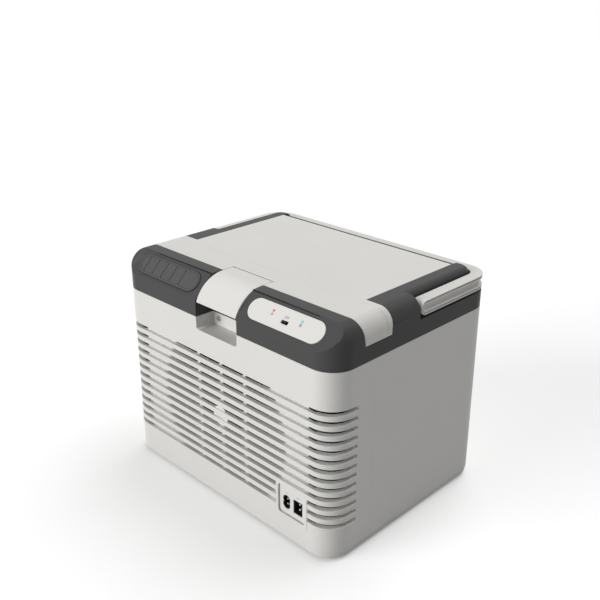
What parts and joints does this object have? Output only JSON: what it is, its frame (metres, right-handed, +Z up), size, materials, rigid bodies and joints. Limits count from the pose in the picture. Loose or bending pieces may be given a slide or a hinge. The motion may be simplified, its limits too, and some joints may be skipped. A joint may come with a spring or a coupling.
{
  "type": "portable cooler box",
  "caption": "White portable cool and warm box with a dark top frame, grilled front, sloping control face, hinged lid, flap latch and a folding bail handle.",
  "frame": {"origin": "on the floor under the middle of the box", "axes": "+X to the right along the width, +Y to the back, +Z up; the grilled front faces -Y"},
  "size_m": [0.386, 0.294, 0.3],
  "materials": {
    "white_plastic": "satin",
    "dark_frame": "matte",
    "steel": "satin",
    "aluminium": "satin",
    "black_plastic": "matte",
    "liner_grey": "satin",
    "foam": "matte",
    "foot_rubber": "matte",
    "circuit_board": "satin",
    "red_lens": "gloss",
    "cyan_lens": "gloss",
    "grip_rubber": "matte",
    "brass": "satin",
    "ceramic_white": "matte",
    "dark_teal": "matte",
    "transformer_tape": "satin",
    "wire_jacket": "satin",
    "seal_rubber": "matte"
  },
  "bodies": {
    "cabinet": {"front_grille_cover": "white_plastic", "body_shell": "white_plastic", "base_pan": "white_plastic", "rubber_feet": "foot_rubber", "base_screws": "steel", "top_frame": "dark_frame", "inner_liner": "liner_grey", "foam_jacket": "foam", "socket_panel": "white_plastic", "ac_inlet": "black_plastic", "ac_pins": "steel", "dc_inlet": "black_plastic", "dc_pins": "steel", "control_panel": "white_plastic", "control_board": "circuit_board", "switch_housing": "black_plastic", "hot_indicator": "red_lens", "cold_indicator": "cyan_lens", "grip_pad": "grip_rubber", "latch_keeper": "dark_frame", "keeper_screws": "steel", "recess_screws": "steel", "cover_screws": "steel", "fan_frame": "black_plastic", "fan_screws": "steel", "fan_bearing": "brass", "heat_sink": "aluminium", "peltier_module": "ceramic_white", "cold_block": "aluminium", "cold_sink": "aluminium", "cold_cover": "liner_grey", "clamp_screws": "steel", "divider_panel": "dark_teal", "power_board": "circuit_board", "transformer": "transformer_tape", "capacitors": "black_plastic", "board_screws": "steel", "wiring": "wire_jacket", "hinge_pins": "steel", "handle_bushes": "black_plastic"},
    "lid": {"lid_top_panel": "white_plastic", "lid_front_trim": "white_plastic", "lid_tray": "liner_grey", "lid_foam": "foam", "lid_gasket": "seal_rubber", "lid_screws": "steel", "latch_pin": "steel"},
    "latch": {"latch_flap": "white_plastic"},
    "handle": {"carry_handle": "white_plastic", "handle_pins": "steel"},
    "mode_switch": {"mode_slider": "black_plastic"},
    "fan": {"fan_rotor": "black_plastic", "fan_shaft": "steel"}
  },
  "joints": [
    {"name": "lid_hinge", "type": "hinge", "parent": "cabinet", "child": "lid", "pos_m": [0, 0.108, 0.288], "axis": [-1, 0, 0], "range_deg": [0, 95]},
    {"name": "latch_hinge", "type": "hinge", "parent": "lid", "child": "latch", "pos_m": [0, -0.0882, 0.2927], "axis": [-1, 0, 0], "range_deg": [0, 50]},
    {"name": "handle_hinge", "type": "hinge", "parent": "cabinet", "child": "handle", "pos_m": [0, 0.0105, 0.284], "axis": [1, 0, 0], "range_deg": [0, 90]},
    {"name": "mode_slide", "type": "slide", "parent": "cabinet", "child": "mode_switch", "axis": [1, 0, 0], "range_m": [-0.0028, 0.0028]},
    {"name": "fan_spin", "type": "hinge", "parent": "cabinet", "child": "fan", "pos_m": [0, -0.127, 0.12522], "axis": [0, 1, 0], "continuous": true}
  ]
}
